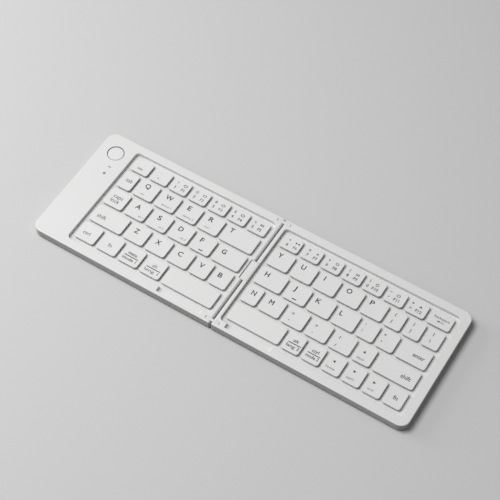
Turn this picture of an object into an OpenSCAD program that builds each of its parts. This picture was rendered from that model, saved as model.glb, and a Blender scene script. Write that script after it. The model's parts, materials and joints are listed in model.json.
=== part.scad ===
// Folding keyboard: two key halves joined by a double-axle hinge, lying open.
// +X runs from the left half to the right half, +Y to the back edge, +Z up.
// The origin is on the table, under the middle of the open keyboard.

/* [Overall size] */
// Length of the open keyboard
open_length = 292; // [284:1:310]
// Depth from the front edge to the back edge
body_depth = 98.4; // [94:0.1:106]
// Thickness of one half without its feet
half_thickness = 7.0; // [6.9:0.1:7.6]
// Radius of the four outer corners seen from above
corner_radius = 6.8; // [5.8:0.1:8]

/* [Shells] */
// Thickness of the side walls
side_wall = 1.4; // [1.2:0.1:1.6]
// Thickness of the bezel's top skin
top_skin = 1.2; // [1:0.1:1.4]
// Thickness of the cover's floor
cover_floor = 1.0; // [0.9:0.1:1.1]
// Height of the bottom cover, up to the parting line
cover_height = 3.3; // [3.2:0.1:3.4]
// Open line between cover and frame
parting_gap = 0.1; // [0.05:0.01:0.15]
// Rounding of the top outer edge
top_edge_round = 0.5; // [0.3:0.1:1]
// Rounding of the bottom outer edge
bottom_edge_round = 1.3; // [0.8:0.1:1.6]
// Rounding of each half's corners at the seam, seen from above
seam_corner_radius = 1.1; // [0.8:0.1:1.5]
// Thickness of the wall that hangs round the key well
well_skirt = 1.0; // [0.9:0.1:1.2]
// How far the key bed reaches under that wall
bed_lip = 0.6; // [0.4:0.1:0.7]
// Fit gap between pieces that seat in each other
seat_gap = 0.1; // [0.05:0.01:0.15]

/* [Key wells] */
// Bezel width left of the left well
left_bezel = 25.8; // [25:0.1:28]
// Bezel width right of the right well
right_bezel = 6.5; // [6.4:0.1:8]
// Bezel width behind the wells
back_bezel = 6.3; // [6.2:0.1:7.5]
// Bezel width in front of the wells
front_bezel = 6.3; // [6.2:0.1:7.5]
// Bezel width from the seam to each well
hinge_bezel = 3.5; // [3.45:0.05:3.9]
// Corner radius of the wells
well_radius = 2.75; // [2:0.05:3.5]
// Rounding of the well's upper rim
rim_round = 0.3; // [0.2:0.05:0.6]

/* [Thumb recesses] */
// Length of each recess in front of a space bar
thumb_length = 35.2; // [25:0.1:40]
// Distance from the seam to the recess
thumb_start = 9.4; // [8:0.1:14]
// Depth of the recess below the bezel
thumb_depth = 1.4; // [1:0.1:1.6]
// Width of the bezel edge left in front of the recess
thumb_edge = 2.4; // [2:0.1:3]
// How far the recess's end walls lean out over their height
thumb_slope = 1.2; // [0.8:0.1:1.6]
// Thickness of the frame under the recess
thumb_floor = 1.0; // [0.8:0.1:1.2]

/* [Keys] */
// Gap between neighbouring keys in a row
key_gap_x = 2.15; // [2:0.05:2.6]
// Gap between rows
key_gap_y = 2.35; // [2:0.05:2.6]
// Gap from the wells' outer end walls to the keys
key_margin_side = 3.05; // [2.9:0.05:4]
// Gap from the wells' hinge walls to the keys
key_margin_hinge = 2.7; // [2.6:0.05:3.5]
// Gap from the wells' back walls to the keys
key_margin_back = 3.1; // [2.8:0.1:4]
// Gap from the wells' front walls to the keys
key_margin_front = 3.6; // [3:0.1:4]
// How far the key tops lie below the bezel
key_recess = 0.5; // [0.4:0.05:0.6]
// Height of a keycap's side wall
key_height = 1.5; // [1.4:0.05:1.6]
// Thickness of a keycap's top
key_skin = 0.9; // [0.8:0.05:1]
// Thickness of a keycap's side wall
key_wall = 0.9; // [0.8:0.05:1]
// Corner radius of a keycap
key_radius = 1.8; // [1.5:0.05:2]
// Bevel round a keycap's top
key_bevel = 0.25; // [0.2:0.05:0.4]
// How far a key goes down
key_travel = 0.85; // [0.7:0.05:1]
// Air left between a pressed keycap and the well floor
pressed_gap = 0.06; // [0.05:0.01:0.15]

/* [Key mechanism] */
// Width of the scissor set under a full-size key
scissor_width = 11.0; // [10:0.1:11.4]
// Width of a scissor link's bars
scissor_bar = 0.8; // [0.7:0.05:0.9]
// Thickness of a scissor link
scissor_thickness = 0.5; // [0.4:0.05:0.55]
// Side gap between the outer and the inner link
scissor_gap = 0.12; // [0.1:0.01:0.2]
// Base radius of a rubber dome
dome_radius = 2.5; // [2.2:0.05:2.6]
// Wall thickness of a rubber dome
dome_wall = 0.35; // [0.3:0.05:0.5]
// Thickness of the dome sheet
dome_sheet_thickness = 0.2; // [0.15:0.01:0.25]
// Thickness of the contact membrane
membrane_thickness = 0.2; // [0.15:0.01:0.25]
// Thickness of the back plate
plate_thickness = 0.4; // [0.3:0.05:0.45]
// Air left between stacked sheets
sheet_gap = 0.06; // [0.05:0.01:0.08]

/* [Hinge] */
// Distance of each axle from the seam
axle_offset = 2.1; // [2.05:0.01:2.15]
// Depth of the axles below the bezel
axle_depth = 1.54; // [1.45:0.01:1.56]
// Radius of the steel axles
axle_radius = 0.5; // [0.4:0.05:0.5]
// Running clearance round the axles
axle_clearance = 0.05; // [0.03:0.01:0.08]
// How far the axle ends lie inside the walls
axle_end_inset = 0.4; // [0.2:0.1:0.8]
// Open line between the two halves
seam_gap = 1.0; // [0.9:0.01:1.05]
// Reach of the end links beyond the axles
link_reach = 3.2; // [3:0.05:3.3]
// Height of the end links below the axles
link_drop = 1.5; // [1.2:0.05:1.55]
// How far the end links' tops lie below the bezel
link_top_gap = 0.05; // [0.03:0.01:0.1]
// Thickness of the end links
link_thickness = 1.8; // [1.5:0.1:2]
// Distance from the front and back edges to the end links
link_inset = 2.2; // [2:0.1:2.4]
// Radius of the centre cover's ears about the axles
ear_radius = 0.85; // [0.8:0.01:0.88]
// Crown of the centre cover
cover_crown = 0.08; // [0.05:0.01:0.1]
// Length of the centre cover
centre_cover_length = 17.0; // [14:0.1:20]
// Clearance round moving hinge pieces
hinge_clearance = 0.1; // [0.08:0.01:0.12]
// Width of the flexible cable
flex_width = 11; // [9:0.5:12]
// Thickness of the flexible cable
flex_thickness = 0.15; // [0.12:0.01:0.2]

/* [Power button and lights] */
// Distance of the button's axis from the left end
button_from_end = 13.1; // [12.8:0.1:13.6]
// Distance of the button's axis from the back edge
button_from_back = 15.4; // [15:0.1:18]
// Radius of the button
button_radius = 5.9; // [5.5:0.1:6.1]
// Open ring round the button
button_gap = 0.4; // [0.3:0.05:0.5]
// Depth of the button's face below the bezel
button_recess = 0.15; // [0.1:0.05:0.3]
// How far the button goes down
button_travel = 0.4; // [0.3:0.05:0.45]
// Distance of the lights from the left end
light_from_end = 16.2; // [15:0.1:17]
// Distance of the bar-shaped light from the back edge
bar_light_from_back = 27.7; // [26:0.1:29]
// Distance of the round light from the back edge
round_light_from_back = 34.1; // [33:0.1:36]
// Width of the lights
light_width = 2.1; // [1.6:0.1:2.4]
// Depth of the bar-shaped light
light_bar_depth = 0.8; // [0.6:0.1:1]

/* [Electronics] */
// Thickness of the main board
board_thickness = 1.0; // [0.8:0.1:1.2]
// Height of the board above the cover's floor
board_lift = 1.1; // [1:0.1:1.2]
// Depth of the battery, front to back
battery_depth = 36; // [30:1:36]
// Thickness of the battery
battery_thickness = 3.6; // [3:0.1:3.8]
// Room between the battery and the main board
battery_board_gap = 2.2; // [1.8:0.1:3]
// Width of the charging socket
socket_width = 9.0; // [8.9:0.1:9.2]
// Height of the charging socket
socket_height = 3.2; // [3.1:0.05:3.3]
// Length of the charging socket
socket_length = 7.3; // [6.5:0.1:7.5]
// Distance of the charging socket's middle from the board's front end
socket_from_board_end = 9.8; // [9:0.1:12]

/* [Feet and screws] */
// How far the feet stand out
foot_height = 0.5; // [0.4:0.1:0.8]
// Radius of the feet
foot_radius = 4.0; // [3:0.1:5]
// Bare strip between a foot and the outline of its half
foot_inset = 7; // [6:0.5:9]
// Bare strip between a foot and the seam
foot_from_seam = 12; // [11:0.5:20]
// Depth of the foot recesses
foot_recess = 0.35; // [0.3:0.05:0.4]
// Radius of a screw's shank
screw_radius = 0.7; // [0.6:0.05:0.8]
// Radius of a screw's head
screw_head_radius = 1.4; // [1.3:0.05:1.5]
// Height of a screw's head
screw_head_height = 0.5; // [0.4:0.05:0.55]
// Radius of the screw bosses
boss_radius = 2.1; // [2.05:0.01:2.15]

/* [Hidden] */

LEFT = -1;
RIGHT = 1;
$fn = 48;

// Colours
shell_white = [0.87, 0.87, 0.87];
cap_white = [0.88, 0.88, 0.88];
sheet_grey = [0.72, 0.74, 0.76];
rubber_grey = [0.45, 0.45, 0.46];
steel_grey = [0.62, 0.63, 0.65];

// Key widths of each row, as shares of the row, from the back row to the front row
LEFT_ROWS = [
  [1, 1, 1, 1, 1, 1, 1],
  [10.9, 15.85, 15.85, 15.85, 15.85, 25.9],
  [15.4, 15.8, 15.8, 15.8, 15.8, 21.6],
  [26.3, 15.75, 15.75, 15.75, 13.2, 13.3],
  [15.5, 15.7, 15.7, 15.7, 39.9]
];
RIGHT_ROWS = [
  [14.05, 14.05, 14.05, 14.05, 14.05, 14.05, 14.05, 16.6],
  [15.95, 15.95, 15.95, 15.95, 15.95, 11.8, 11.8, 11.8],
  [20.6, 16.5, 16.5, 16.5, 12.65, 12.65, 22.0],
  [11.6, 15.75, 15.75, 15.75, 15.75, 13.0, 29.7],
  [39.9, 12.95, 12.95, 12.95, 12.95, 12.95, 12.95]
];
// Depths of the five rows, as shares of the field
ROW_DEPTHS = [11.5, 14.6, 14.6, 14.6, 14.6];

// Heights
half_length = open_length / 2;
cover_bottom = foot_height;
bezel_top = foot_height + half_thickness;
floor_top = cover_bottom + cover_floor;
cover_top = cover_bottom + cover_height;
frame_bottom = cover_top + parting_gap;
skin_bottom = bezel_top - top_skin;
bed_top = bezel_top - key_recess - key_height - key_travel - pressed_gap;
plate_bottom = floor_top + sheet_gap;
plate_top = plate_bottom + plate_thickness;
membrane_bottom = plate_top + sheet_gap;
membrane_top = membrane_bottom + membrane_thickness;
dome_sheet_bottom = membrane_top + sheet_gap;
dome_sheet_top = dome_sheet_bottom + dome_sheet_thickness;
bed_bottom = dome_sheet_top + sheet_gap;
key_top = bezel_top - key_recess;
key_bottom = key_top - key_height;
key_underside = key_top - key_skin;
axle_height = bezel_top - axle_depth;
half_end_radius = axle_offset - seam_gap / 2;
flex_window_top = axle_height - ear_radius - hinge_clearance - cover_crown - 0.5;
board_bottom = floor_top + board_lift;
board_top = board_bottom + board_thickness;
socket_height_centre = cover_top;
thumb_bottom = bezel_top - thumb_depth;

// Plan positions
half_width = body_depth / 2;
well_back = half_width - back_bezel;
well_front = -half_width + front_bezel;
hinge_solid = axle_offset + link_reach + hinge_clearance + 0.8;
cover_end_wall = seam_gap / 2 + side_wall;
inner_wall_radius = corner_radius - side_wall;
corner_screw = corner_radius * 0.62;
inner_screw_x = hinge_solid + 1.4;
middle_screw_x = half_length / 2;
light_y = [half_width - bar_light_from_back, half_width - round_light_from_back];

// Battery and board in the wide bezel, from front to back
battery_front = -half_width + corner_radius + 1.6;
battery_back = battery_front + battery_depth;
board_front = battery_back + battery_board_gap;
board_back = half_width - corner_radius - 1.4;
board_left = -half_length + side_wall + 1.0;
board_right = -well_outer(LEFT) - well_skirt - 0.9;
socket_y = board_front + socket_from_board_end;

function outer_bezel(side) = side == LEFT ? left_bezel : right_bezel;
function well_outer(side) = half_length - outer_bezel(side);
function rows(side) = side == LEFT ? LEFT_ROWS : RIGHT_ROWS;
function sum_first(v, n) = n > 0 ? v[n - 1] + sum_first(v, n - 1) : 0;
function total(v) = sum_first(v, len(v));

// Key field of each half, from its left end to its right end
function field_start(side) = side == LEFT
  ? -well_outer(LEFT) + key_margin_side
  : hinge_bezel + key_margin_hinge;
function field_width(side) = well_outer(side) - hinge_bezel - key_margin_side - key_margin_hinge;
field_back = well_back - key_margin_back;
field_depth = field_back - well_front - key_margin_front;

// Width, depth and centre of the key at a row and column
function share_width(side, row) =
  (field_width(side) - (len(rows(side)[row]) - 1) * key_gap_x) / total(rows(side)[row]);
function cap_w(side, row, col) = rows(side)[row][col] * share_width(side, row);
function cap_x(side, row, col) = field_start(side)
  + sum_first(rows(side)[row], col) * share_width(side, row) + col * key_gap_x
  + cap_w(side, row, col) / 2;
share_depth = (field_depth - (len(ROW_DEPTHS) - 1) * key_gap_y) / total(ROW_DEPTHS);
function cap_d(row) = ROW_DEPTHS[row] * share_depth;
function cap_y(row) = field_back - sum_first(ROW_DEPTHS, row) * share_depth - row * key_gap_y
  - cap_d(row) / 2;

// Scissor set that fits under a key
function link_w(w) = min(scissor_width, w - 2 * key_wall - 0.6);
function link_l(d) = d - 2 * key_wall - 2;
link_half_rise = (key_underside - dome_sheet_top) / 2 - 0.1;
function link_tilt(l) = asin((link_half_rise - scissor_thickness / 2) / (l / 2));
function is_wide(w) = w > 3 * scissor_width;
function set_offsets(w) = is_wide(w) ? [-w / 4, w / 4] : [0];

// Outline with round corners, from one corner to the opposite one
module round_rect(low, high, r) {
  translate([low[0] + r, low[1]]) square([high[0] - low[0] - 2 * r, high[1] - low[1]]);
  translate([low[0], low[1] + r]) square([high[0] - low[0], high[1] - low[1] - 2 * r]);
  for (x = [low[0] + r, high[0] - r], y = [low[1] + r, high[1] - r])
    translate([x, y]) circle(r);
}

module round_block(low, high, r, bottom, top) {
  translate([0, 0, bottom]) linear_extrude(top - bottom) round_rect(low, high, r);
}

// Extrudes an XZ outline along Y, from one depth to another
module along_y(from, to) {
  translate([0, to, 0]) rotate([90, 0, 0]) linear_extrude(to - from) children();
}

// Section of a shell's edge: flat below and above, rounded outside
function edge_section(bottom, top, r_low, r_high) = concat(
  [[0, bottom]],
  [for (a = [-90:22.5:0]) if (r_low > 0)
    [corner_radius - r_low + r_low * cos(a), bottom + r_low + r_low * sin(a)]],
  r_low > 0 ? [] : [[corner_radius, bottom]],
  [for (a = [0:22.5:90]) if (r_high > 0)
    [corner_radius - r_high + r_high * cos(a), top - r_high + r_high * sin(a)]],
  r_high > 0 ? [] : [[corner_radius, top]],
  [[0, top]]
);

// One half as a solid slab with rounded outer corners and edges, hinge end at X = 0
module half_slab(bottom, top, r_low, r_high) {
  section = edge_section(bottom, top, r_low, r_high);
  straight = half_length - corner_radius;
  side = half_width - corner_radius;
  translate([0, -side, bottom]) cube([straight, 2 * side, top - bottom]);
  translate([straight, 0, 0]) along_y(-side, side) polygon(section);
  for (m = [0, 1]) mirror([0, m, 0]) {
    translate([straight, side, 0]) rotate_extrude(angle = 90) polygon(section);
    translate([0, side, 0]) rotate([90, 0, 90]) linear_extrude(straight) polygon(section);
  }
}

// XZ outline that rounds a half's end about its axle, so that it clears the other half
module hinge_end_outline() {
  translate([axle_offset, axle_height]) circle(half_end_radius);
  translate([axle_offset, 0]) square([half_length, bezel_top + 1]);
  translate([seam_gap / 2, 0]) square([half_length, axle_height]);
}

// Room for an end link while the half turns about its axle
module link_slots() {
  r = link_reach + hinge_clearance;
  for (m = [0, 1]) mirror([0, m, 0])
    along_y(half_width - link_inset - link_thickness - hinge_clearance,
            half_width - link_inset + hinge_clearance) {
      translate([axle_offset, axle_height]) circle(r);
      translate([-1, axle_height]) square([axle_offset + r + 1, axle_depth + 1]);
      translate([-1, axle_height - r]) square([axle_offset + 1, r + 0.01]);
    }
}

// Room for the centre cover while the half turns about its axle
module centre_notch() {
  r = ear_radius + hinge_clearance + cover_crown;
  length = centre_cover_length / 2 + hinge_clearance;
  along_y(-length, length) {
    translate([axle_offset, axle_height]) circle(r);
    translate([-1, axle_height]) square([axle_offset + r + 1, axle_depth + 1]);
    translate([-1, axle_height - r]) square([axle_offset + 1, r + 0.01]);
  }
}

module axle_bore() {
  translate([axle_offset, 0, axle_height]) rotate([90, 0, 0])
    cylinder(r = axle_radius + axle_clearance, h = body_depth + 2, center = true);
}

// Window in the hinge end for the flexible cable
module flex_window() {
  depth = hinge_bezel + 1.5;
  translate([-1, -flex_width / 2 - 0.5, floor_top])
    cube([depth, flex_width + 1, flex_window_top - floor_top]);
}

// Middle of the channel between the outer wall and the well's skirt, at the front or the back
function row_screw_y(m) =
  (m * (half_width - side_wall) + (m > 0 ? well_back + well_skirt : well_front - well_skirt)) / 2;

function screw_places() = [
  for (m = [-1, 1]) each [
    [inner_screw_x, row_screw_y(m)],
    [middle_screw_x, row_screw_y(m)],
    [half_length - corner_screw, m * (half_width - corner_screw)]
  ]
];

// Outline of a well in the half's own frame, grown by an amount
module well_outline(side, grow) {
  round_rect([hinge_bezel - grow, well_front - grow], [well_outer(side) + grow, well_back + grow],
             well_radius + grow);
}

// Cutter that rounds a well's upper rim, corners included
module well_rim(side) {
  low = [hinge_bezel + well_radius, well_front + well_radius];
  high = [well_outer(side) - well_radius, well_back - well_radius];
  section = concat(
    [[well_radius - 0.5, bezel_top - rim_round]],
    [for (a = [180:-22.5:90])
      [well_radius + rim_round + rim_round * cos(a), bezel_top - rim_round + rim_round * sin(a)]],
    [[well_radius + rim_round, bezel_top + 1], [well_radius - 0.5, bezel_top + 1]]
  );
  length = high[0] - low[0];
  translate([high[0], 0, 0]) along_y(low[1], high[1]) polygon(section);
  translate([low[0], 0, 0]) mirror([1, 0, 0]) along_y(low[1], high[1]) polygon(section);
  translate([low[0], high[1], 0]) rotate([90, 0, 90]) linear_extrude(length) polygon(section);
  translate([low[0], low[1], 0]) mirror([0, 1, 0]) rotate([90, 0, 90])
    linear_extrude(length) polygon(section);
  for (x = [0, 1], y = [0, 1])
    translate([x > 0 ? high[0] : low[0], y > 0 ? high[1] : low[1], 0])
      mirror([1 - x, 0, 0]) mirror([0, 1 - y, 0])
        rotate_extrude(angle = 90) polygon(section);
}

// Outline of the seat for the key bed: level with the well at the hinge, wider elsewhere
module bed_outline(side, grow) {
  seat = bed_lip + grow;
  round_rect([hinge_bezel + seat_gap - grow, well_front - seat], [well_outer(side) + seat, well_back + seat],
             well_radius);
}

// Shallow scoop in the front bezel, open to the well, with leaning end and front walls
module thumb_recess() {
  low = -half_width + thumb_edge;
  high = well_front + well_radius;
  end = thumb_start + thumb_length;
  lean = thumb_slope / thumb_depth;
  intersection() {
    translate([0, 0, thumb_bottom]) linear_extrude(thumb_depth + 1)
      round_rect([thumb_start - lean, low - lean], [end + lean, high], 1.8);
    along_y(low - 2, high + 2) polygon([
      [thumb_start + thumb_slope, thumb_bottom], [thumb_start - lean, bezel_top + 1],
      [end + lean, bezel_top + 1], [end - thumb_slope, thumb_bottom]
    ]);
    translate([thumb_start - 2, 0, 0]) rotate([90, 0, 90]) linear_extrude(thumb_length + 4)
      polygon([
        [low + thumb_slope / 2, thumb_bottom], [low - lean / 2, bezel_top + 1],
        [high, bezel_top + 1], [high, thumb_bottom]
      ]);
  }
}

// Material left round each thumb recess, where the frame is hollow elsewhere
module thumb_pad() {
  translate([thumb_start - 1.5, -half_width, thumb_bottom - thumb_floor])
    cube([thumb_length + 3, half_width + well_front, half_thickness]);
}

// Cutters that round a half's corners at the seam
module seam_corners() {
  r = seam_corner_radius;
  for (m = [0, 1]) mirror([0, m, 0]) linear_extrude(bezel_top + 1) difference() {
    translate([-1, half_width - r]) square([seam_gap / 2 + r + 1, r + 1]);
    translate([seam_gap / 2 + r, half_width - r]) circle(r);
  }
}

module top_frame_solid(side) {
  difference() {
    intersection() {
      half_slab(frame_bottom, bezel_top, 0, top_edge_round);
      along_y(-half_width - 1, half_width + 1) hinge_end_outline();
    }
    translate([0, 0, frame_bottom - 1]) linear_extrude(half_thickness) well_outline(side, 0);
    difference() {
      translate([0, 0, frame_bottom - 1]) linear_extrude(skin_bottom - frame_bottom + 1)
        difference() {
          round_rect([hinge_solid, -half_width + side_wall],
                     [half_length - side_wall, half_width - side_wall], inner_wall_radius);
          well_outline(side, well_skirt);
        }
      thumb_pad();
    }
    translate([0, 0, frame_bottom - 1]) linear_extrude(bed_top + 0.05 - frame_bottom + 1)
      bed_outline(side, seat_gap);
    well_rim(side);
    thumb_recess();
    seam_corners();
    link_slots();
    centre_notch();
    axle_bore();
    flex_window();
  }
}

// Screw bosses that hang from the bezel, drilled for the screws
module frame_bosses() {
  for (p = screw_places()) translate([p[0], p[1], frame_bottom])
    cylinder(r = boss_radius, h = skin_bottom - frame_bottom + 0.2);
}

module frame_boss_bores() {
  for (p = screw_places()) translate([p[0], p[1], frame_bottom - 1])
    cylinder(r = screw_radius + axle_clearance, h = skin_bottom - frame_bottom + 0.5);
}

module top_frame_half(side) {
  difference() {
    union() {
      top_frame_solid(side);
      frame_bosses();
    }
    frame_boss_bores();
  }
}

// Places of the four feet under one half
function foot_places() = [
  for (m = [-1, 1]) each [
    [foot_radius + foot_from_seam, m * (half_width - foot_radius - foot_inset)],
    [half_length - foot_radius - foot_inset - 1, m * (half_width - foot_radius - foot_inset)]
  ]
];

module bottom_cover_half() {
  difference() {
    union() {
      difference() {
        intersection() {
          half_slab(cover_bottom, cover_top, bottom_edge_round, 0);
          translate([seam_gap / 2, -half_width - 1, 0])
            cube([half_length, body_depth + 2, bezel_top]);
        }
        round_block([cover_end_wall, -half_width + side_wall],
                    [half_length - side_wall, half_width - side_wall],
                    inner_wall_radius, floor_top, cover_top + 1);
      }
      for (p = screw_places()) translate([p[0], p[1], floor_top - 0.2])
        cylinder(r = boss_radius, h = cover_top - floor_top + 0.2);
    }
    link_slots();
    seam_corners();
    flex_window();
    for (p = screw_places()) translate([p[0], p[1], cover_bottom - 1]) {
      cylinder(r = screw_radius + seat_gap, h = half_thickness);
      cylinder(r = screw_head_radius + seat_gap, h = screw_head_height + 1.2);
    }
    for (p = foot_places()) translate([p[0], p[1], cover_bottom - 1])
      cylinder(r = foot_radius + seat_gap, h = foot_recess + 1);
  }
}

module screws_half() {
  head_bottom = cover_bottom + 0.15;
  for (p = screw_places()) translate([p[0], p[1], head_bottom]) difference() {
    union() {
      cylinder(r = screw_head_radius, h = screw_head_height);
      cylinder(r = screw_radius, h = skin_bottom - head_bottom - 0.6);
    }
    for (a = [0, 90]) rotate([0, 0, a]) translate([-0.9, -0.15, -0.1]) cube([1.8, 0.3, 0.35]);
  }
}

module feet_half() {
  for (p = foot_places()) translate([p[0], p[1], 0])
    cylinder(r = foot_radius, h = foot_height + foot_recess - 0.02);
}

module hinge_axle_half() {
  translate([axle_offset, 0, axle_height]) rotate([90, 0, 0])
    cylinder(r = axle_radius, h = body_depth - 2 * axle_end_inset, center = true);
}

// A module drawn in the half's own frame, put on its side
module on_side(side) {
  mirror([side == LEFT ? 1 : 0, 0, 0]) children();
}

// Every key of one half in turn
module each_key(side) {
  for (row = [0:len(rows(side)) - 1], col = [0:len(rows(side)[row]) - 1]) {
    $key_w = cap_w(side, row, col);
    $key_d = cap_d(row);
    translate([cap_x(side, row, col), cap_y(row), 0]) children();
  }
}

// Opening of the key bed under one key
module bed_opening() {
  spread = is_wide($key_w) ? $key_w / 2 : 0;
  w = link_w($key_w) + spread + 0.5;
  l = link_l($key_d) + 0.5;
  translate([-w / 2, -l / 2, bed_bottom - 1]) cube([w, l, bed_top - bed_bottom + 2]);
}

module key_bed(side) {
  color(shell_white) difference() {
    translate([0, 0, bed_bottom]) linear_extrude(bed_top - bed_bottom)
      on_side(side) bed_outline(side, 0);
    each_key(side) bed_opening();
  }
}

// Rectangle under the key bed, drawn in from the well by an amount
module sheet(side, inset, bottom, top) {
  on_side(side) translate([hinge_bezel + inset, well_front + inset, bottom])
    cube([well_outer(side) - hinge_bezel - 2 * inset, well_back - well_front - 2 * inset, top - bottom]);
}

// Hollow rubber dome that reaches up to the keycap's post
module dome() {
  rise = key_underside - dome_sheet_top - 0.25;
  neck = dome_radius - 0.9;
  base = dome_radius;
  translate([0, 0, dome_sheet_top - 0.02]) rotate_extrude() polygon([
    [base - dome_wall, 0], [base, 0], [base, rise * 0.15], [neck, rise * 0.75], [neck, rise],
    [0, rise], [0, rise * 0.75], [neck - dome_wall, rise * 0.7], [base - dome_wall, rise * 0.12]
  ]);
}

module dome_sheet(side) {
  color(rubber_grey) {
    sheet(side, 1.6, dome_sheet_bottom, dome_sheet_top);
    each_key(side) dome();
  }
}

// One flat scissor link: a frame of bars
module scissor_link(w, l) {
  translate([0, 0, -scissor_thickness / 2]) linear_extrude(scissor_thickness) difference() {
    square([w, l], center = true);
    square([w - 2 * scissor_bar, l - 2 * scissor_bar], center = true);
  }
}

// Outer and inner link, crossed
module scissor_set(w, l) {
  tilt = link_tilt(l);
  translate([0, 0, (key_underside + dome_sheet_top) / 2]) {
    rotate([tilt, 0, 0]) scissor_link(w, l);
    rotate([-tilt, 0, 0]) scissor_link(w - 2 * scissor_bar - 2 * scissor_gap, l);
  }
}

module scissor_links(side) {
  color(sheet_grey) each_key(side)
    for (x = set_offsets($key_w)) translate([x, 0, 0])
      scissor_set(link_w($key_w), link_l($key_d));
}

// Section that bevels a keycap's top along one direction
module bevel_section(size) {
  polygon([
    [-size / 2 - 1, key_bottom - 1], [size / 2 + 1, key_bottom - 1],
    [size / 2 + 1, key_top - key_bevel - 1], [size / 2 - key_bevel, key_top],
    [-size / 2 + key_bevel, key_top], [-size / 2 - 1, key_top - key_bevel - 1]
  ]);
}

// Hollow keycap with bevelled top, clips for the scissor links and a post for the dome
module key_cap(w, d) {
  l = link_l(d);
  difference() {
    intersection() {
      round_block([-w / 2, -d / 2], [w / 2, d / 2], key_radius, key_bottom, key_top + 0.5);
      along_y(-d, d) bevel_section(w);
      rotate([0, 0, 90]) along_y(-w, w) bevel_section(d);
    }
    round_block([-w / 2 + key_wall, -d / 2 + key_wall], [w / 2 - key_wall, d / 2 - key_wall],
                key_radius - key_wall * 0.6, key_bottom - 1, key_underside);
  }
  translate([0, 0, key_underside - 0.15]) cylinder(r = 1.2, h = 0.3);
  for (x = set_offsets(w), m = [-1, 1])
    translate([x - link_w(w) / 2 + 1.5, m * (l / 2 + 0.4) - 0.25, key_underside - 0.6])
      cube([link_w(w) - 3, 0.5, 0.75]);
}

module key_at(side, row, col) {
  translate([cap_x(side, row, col), cap_y(row), 0]) key_cap(cap_w(side, row, col), cap_d(row));
}

module keys_at(side, places) {
  color(cap_white) for (p = places) key_at(side, p[0], p[1]);
}

module left_top_frame() {
  x = half_length - button_from_end;
  y = half_width - button_from_back;
  light_x = half_length - light_from_end;
  color(shell_white) difference() {
    on_side(LEFT) top_frame_half(LEFT);
    translate([-x, y, skin_bottom - 1])
      cylinder(r = button_radius + button_gap, h = top_skin + 2);
    for (i = [0, 1]) translate([-light_x, light_y[i], skin_bottom - 1])
      light_shape(i, 0.05, top_skin + 2);
    usb_cut();
  }
}

// Bar-shaped light, or round light, with a fit gap round it
module light_shape(i, grow, h) {
  if (i == 0)
    translate([-light_width / 2 - grow, -light_bar_depth / 2 - grow, 0])
      cube([light_width + 2 * grow, light_bar_depth + 2 * grow, h]);
  else
    cylinder(r = light_width / 2 + grow, h = h);
}

module indicator_lenses() {
  light_x = half_length - light_from_end;
  color([0.55, 0.56, 0.58])
    for (i = [0, 1]) translate([-light_x, light_y[i], 0]) {
      translate([0, 0, skin_bottom - 0.1]) light_shape(i, 0, top_skin + 0.08);
      translate([-light_width / 2 - 0.5, -light_width / 2 - 0.5, skin_bottom - 0.6])
        cube([light_width + 1, light_width + 1, 0.55]);
    }
}

// Rounded slot through the left wall in front of the charging socket
module usb_slot(grow, from, to) {
  r = socket_height / 2 + grow;
  translate([from, socket_y, socket_height_centre]) rotate([0, 90, 0]) linear_extrude(to - from)
    round_rect([-r, -socket_width / 2 - grow], [r, socket_width / 2 + grow], r - 0.05);
}

module usb_cut() {
  usb_slot(0.15, -half_length - 1, -half_length + side_wall + 0.5);
}

module usb_port() {
  start = -half_length + 0.3;
  shell = 0.3;
  color(steel_grey) {
    difference() {
      usb_slot(0, start, start + socket_length);
      usb_slot(-shell, start - 1, start + socket_length - shell);
    }
    translate([start + 1.2, socket_y - 3.3, socket_height_centre - 0.35])
      cube([socket_length - 1.4, 6.6, 0.7]);
  }
}

module left_bottom_cover() {
  post_x = [half_length - 4.4, well_outer(LEFT) + 3.4];
  color(shell_white) difference() {
    union() {
      on_side(LEFT) bottom_cover_half();
      for (x = post_x, y = [board_front + 2.5, board_back - 2.5])
        translate([-x, y, floor_top - 0.1]) cylinder(r = 1.3, h = board_lift + 0.08);
    }
    usb_cut();
  }
}

// Main board in the back part of the wide bezel
module main_board() {
  button_x = -half_length + button_from_end;
  button_y = half_width - button_from_back;
  light_x = -half_length + light_from_end;
  chip_from_left = 9.5;
  color([0.12, 0.35, 0.2]) {
    difference() {
      translate([board_left, board_front, board_bottom])
        cube([board_right - board_left, board_back - board_front, board_thickness]);
      translate([-half_length, socket_y - socket_width / 2 - 0.2, board_bottom - 1])
        cube([socket_length + 0.6, socket_width + 0.4, board_thickness + 2]);
    }
    translate([button_x - 2.6, button_y - 2.6, board_top - 0.01]) cube([5.2, 5.2, 0.75]);
    translate([button_x, button_y, board_top]) cylinder(r = 1.2, h = 1.0);
    for (i = [0, 1]) translate([light_x - 0.8, light_y[i] - 0.6, board_top - 0.01])
      cube([1.6, 1.2, 0.6]);
    translate([board_left + chip_from_left, board_front + 2, board_top - 0.01]) cube([7, 7, 0.9]);
    translate([board_right - 5.5, board_back - 9, board_top - 0.01]) cube([4.5, 7, 0.8]);
  }
}

// Flat battery in the front part of the wide bezel, with its folded end strip
module battery() {
  width = left_bezel - side_wall - well_skirt - 3;
  left = -half_length + side_wall + 1.4;
  color([0.75, 0.76, 0.78]) {
    round_block([left, battery_front], [left + width, battery_back], 1.2,
                floor_top + seat_gap, floor_top + seat_gap + battery_thickness);
    translate([left + 2, battery_back - 0.1, floor_top + 0.8])
      cube([width - 4, battery_board_gap / 2 + 0.1, battery_thickness - 1.4]);
  }
}

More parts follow.
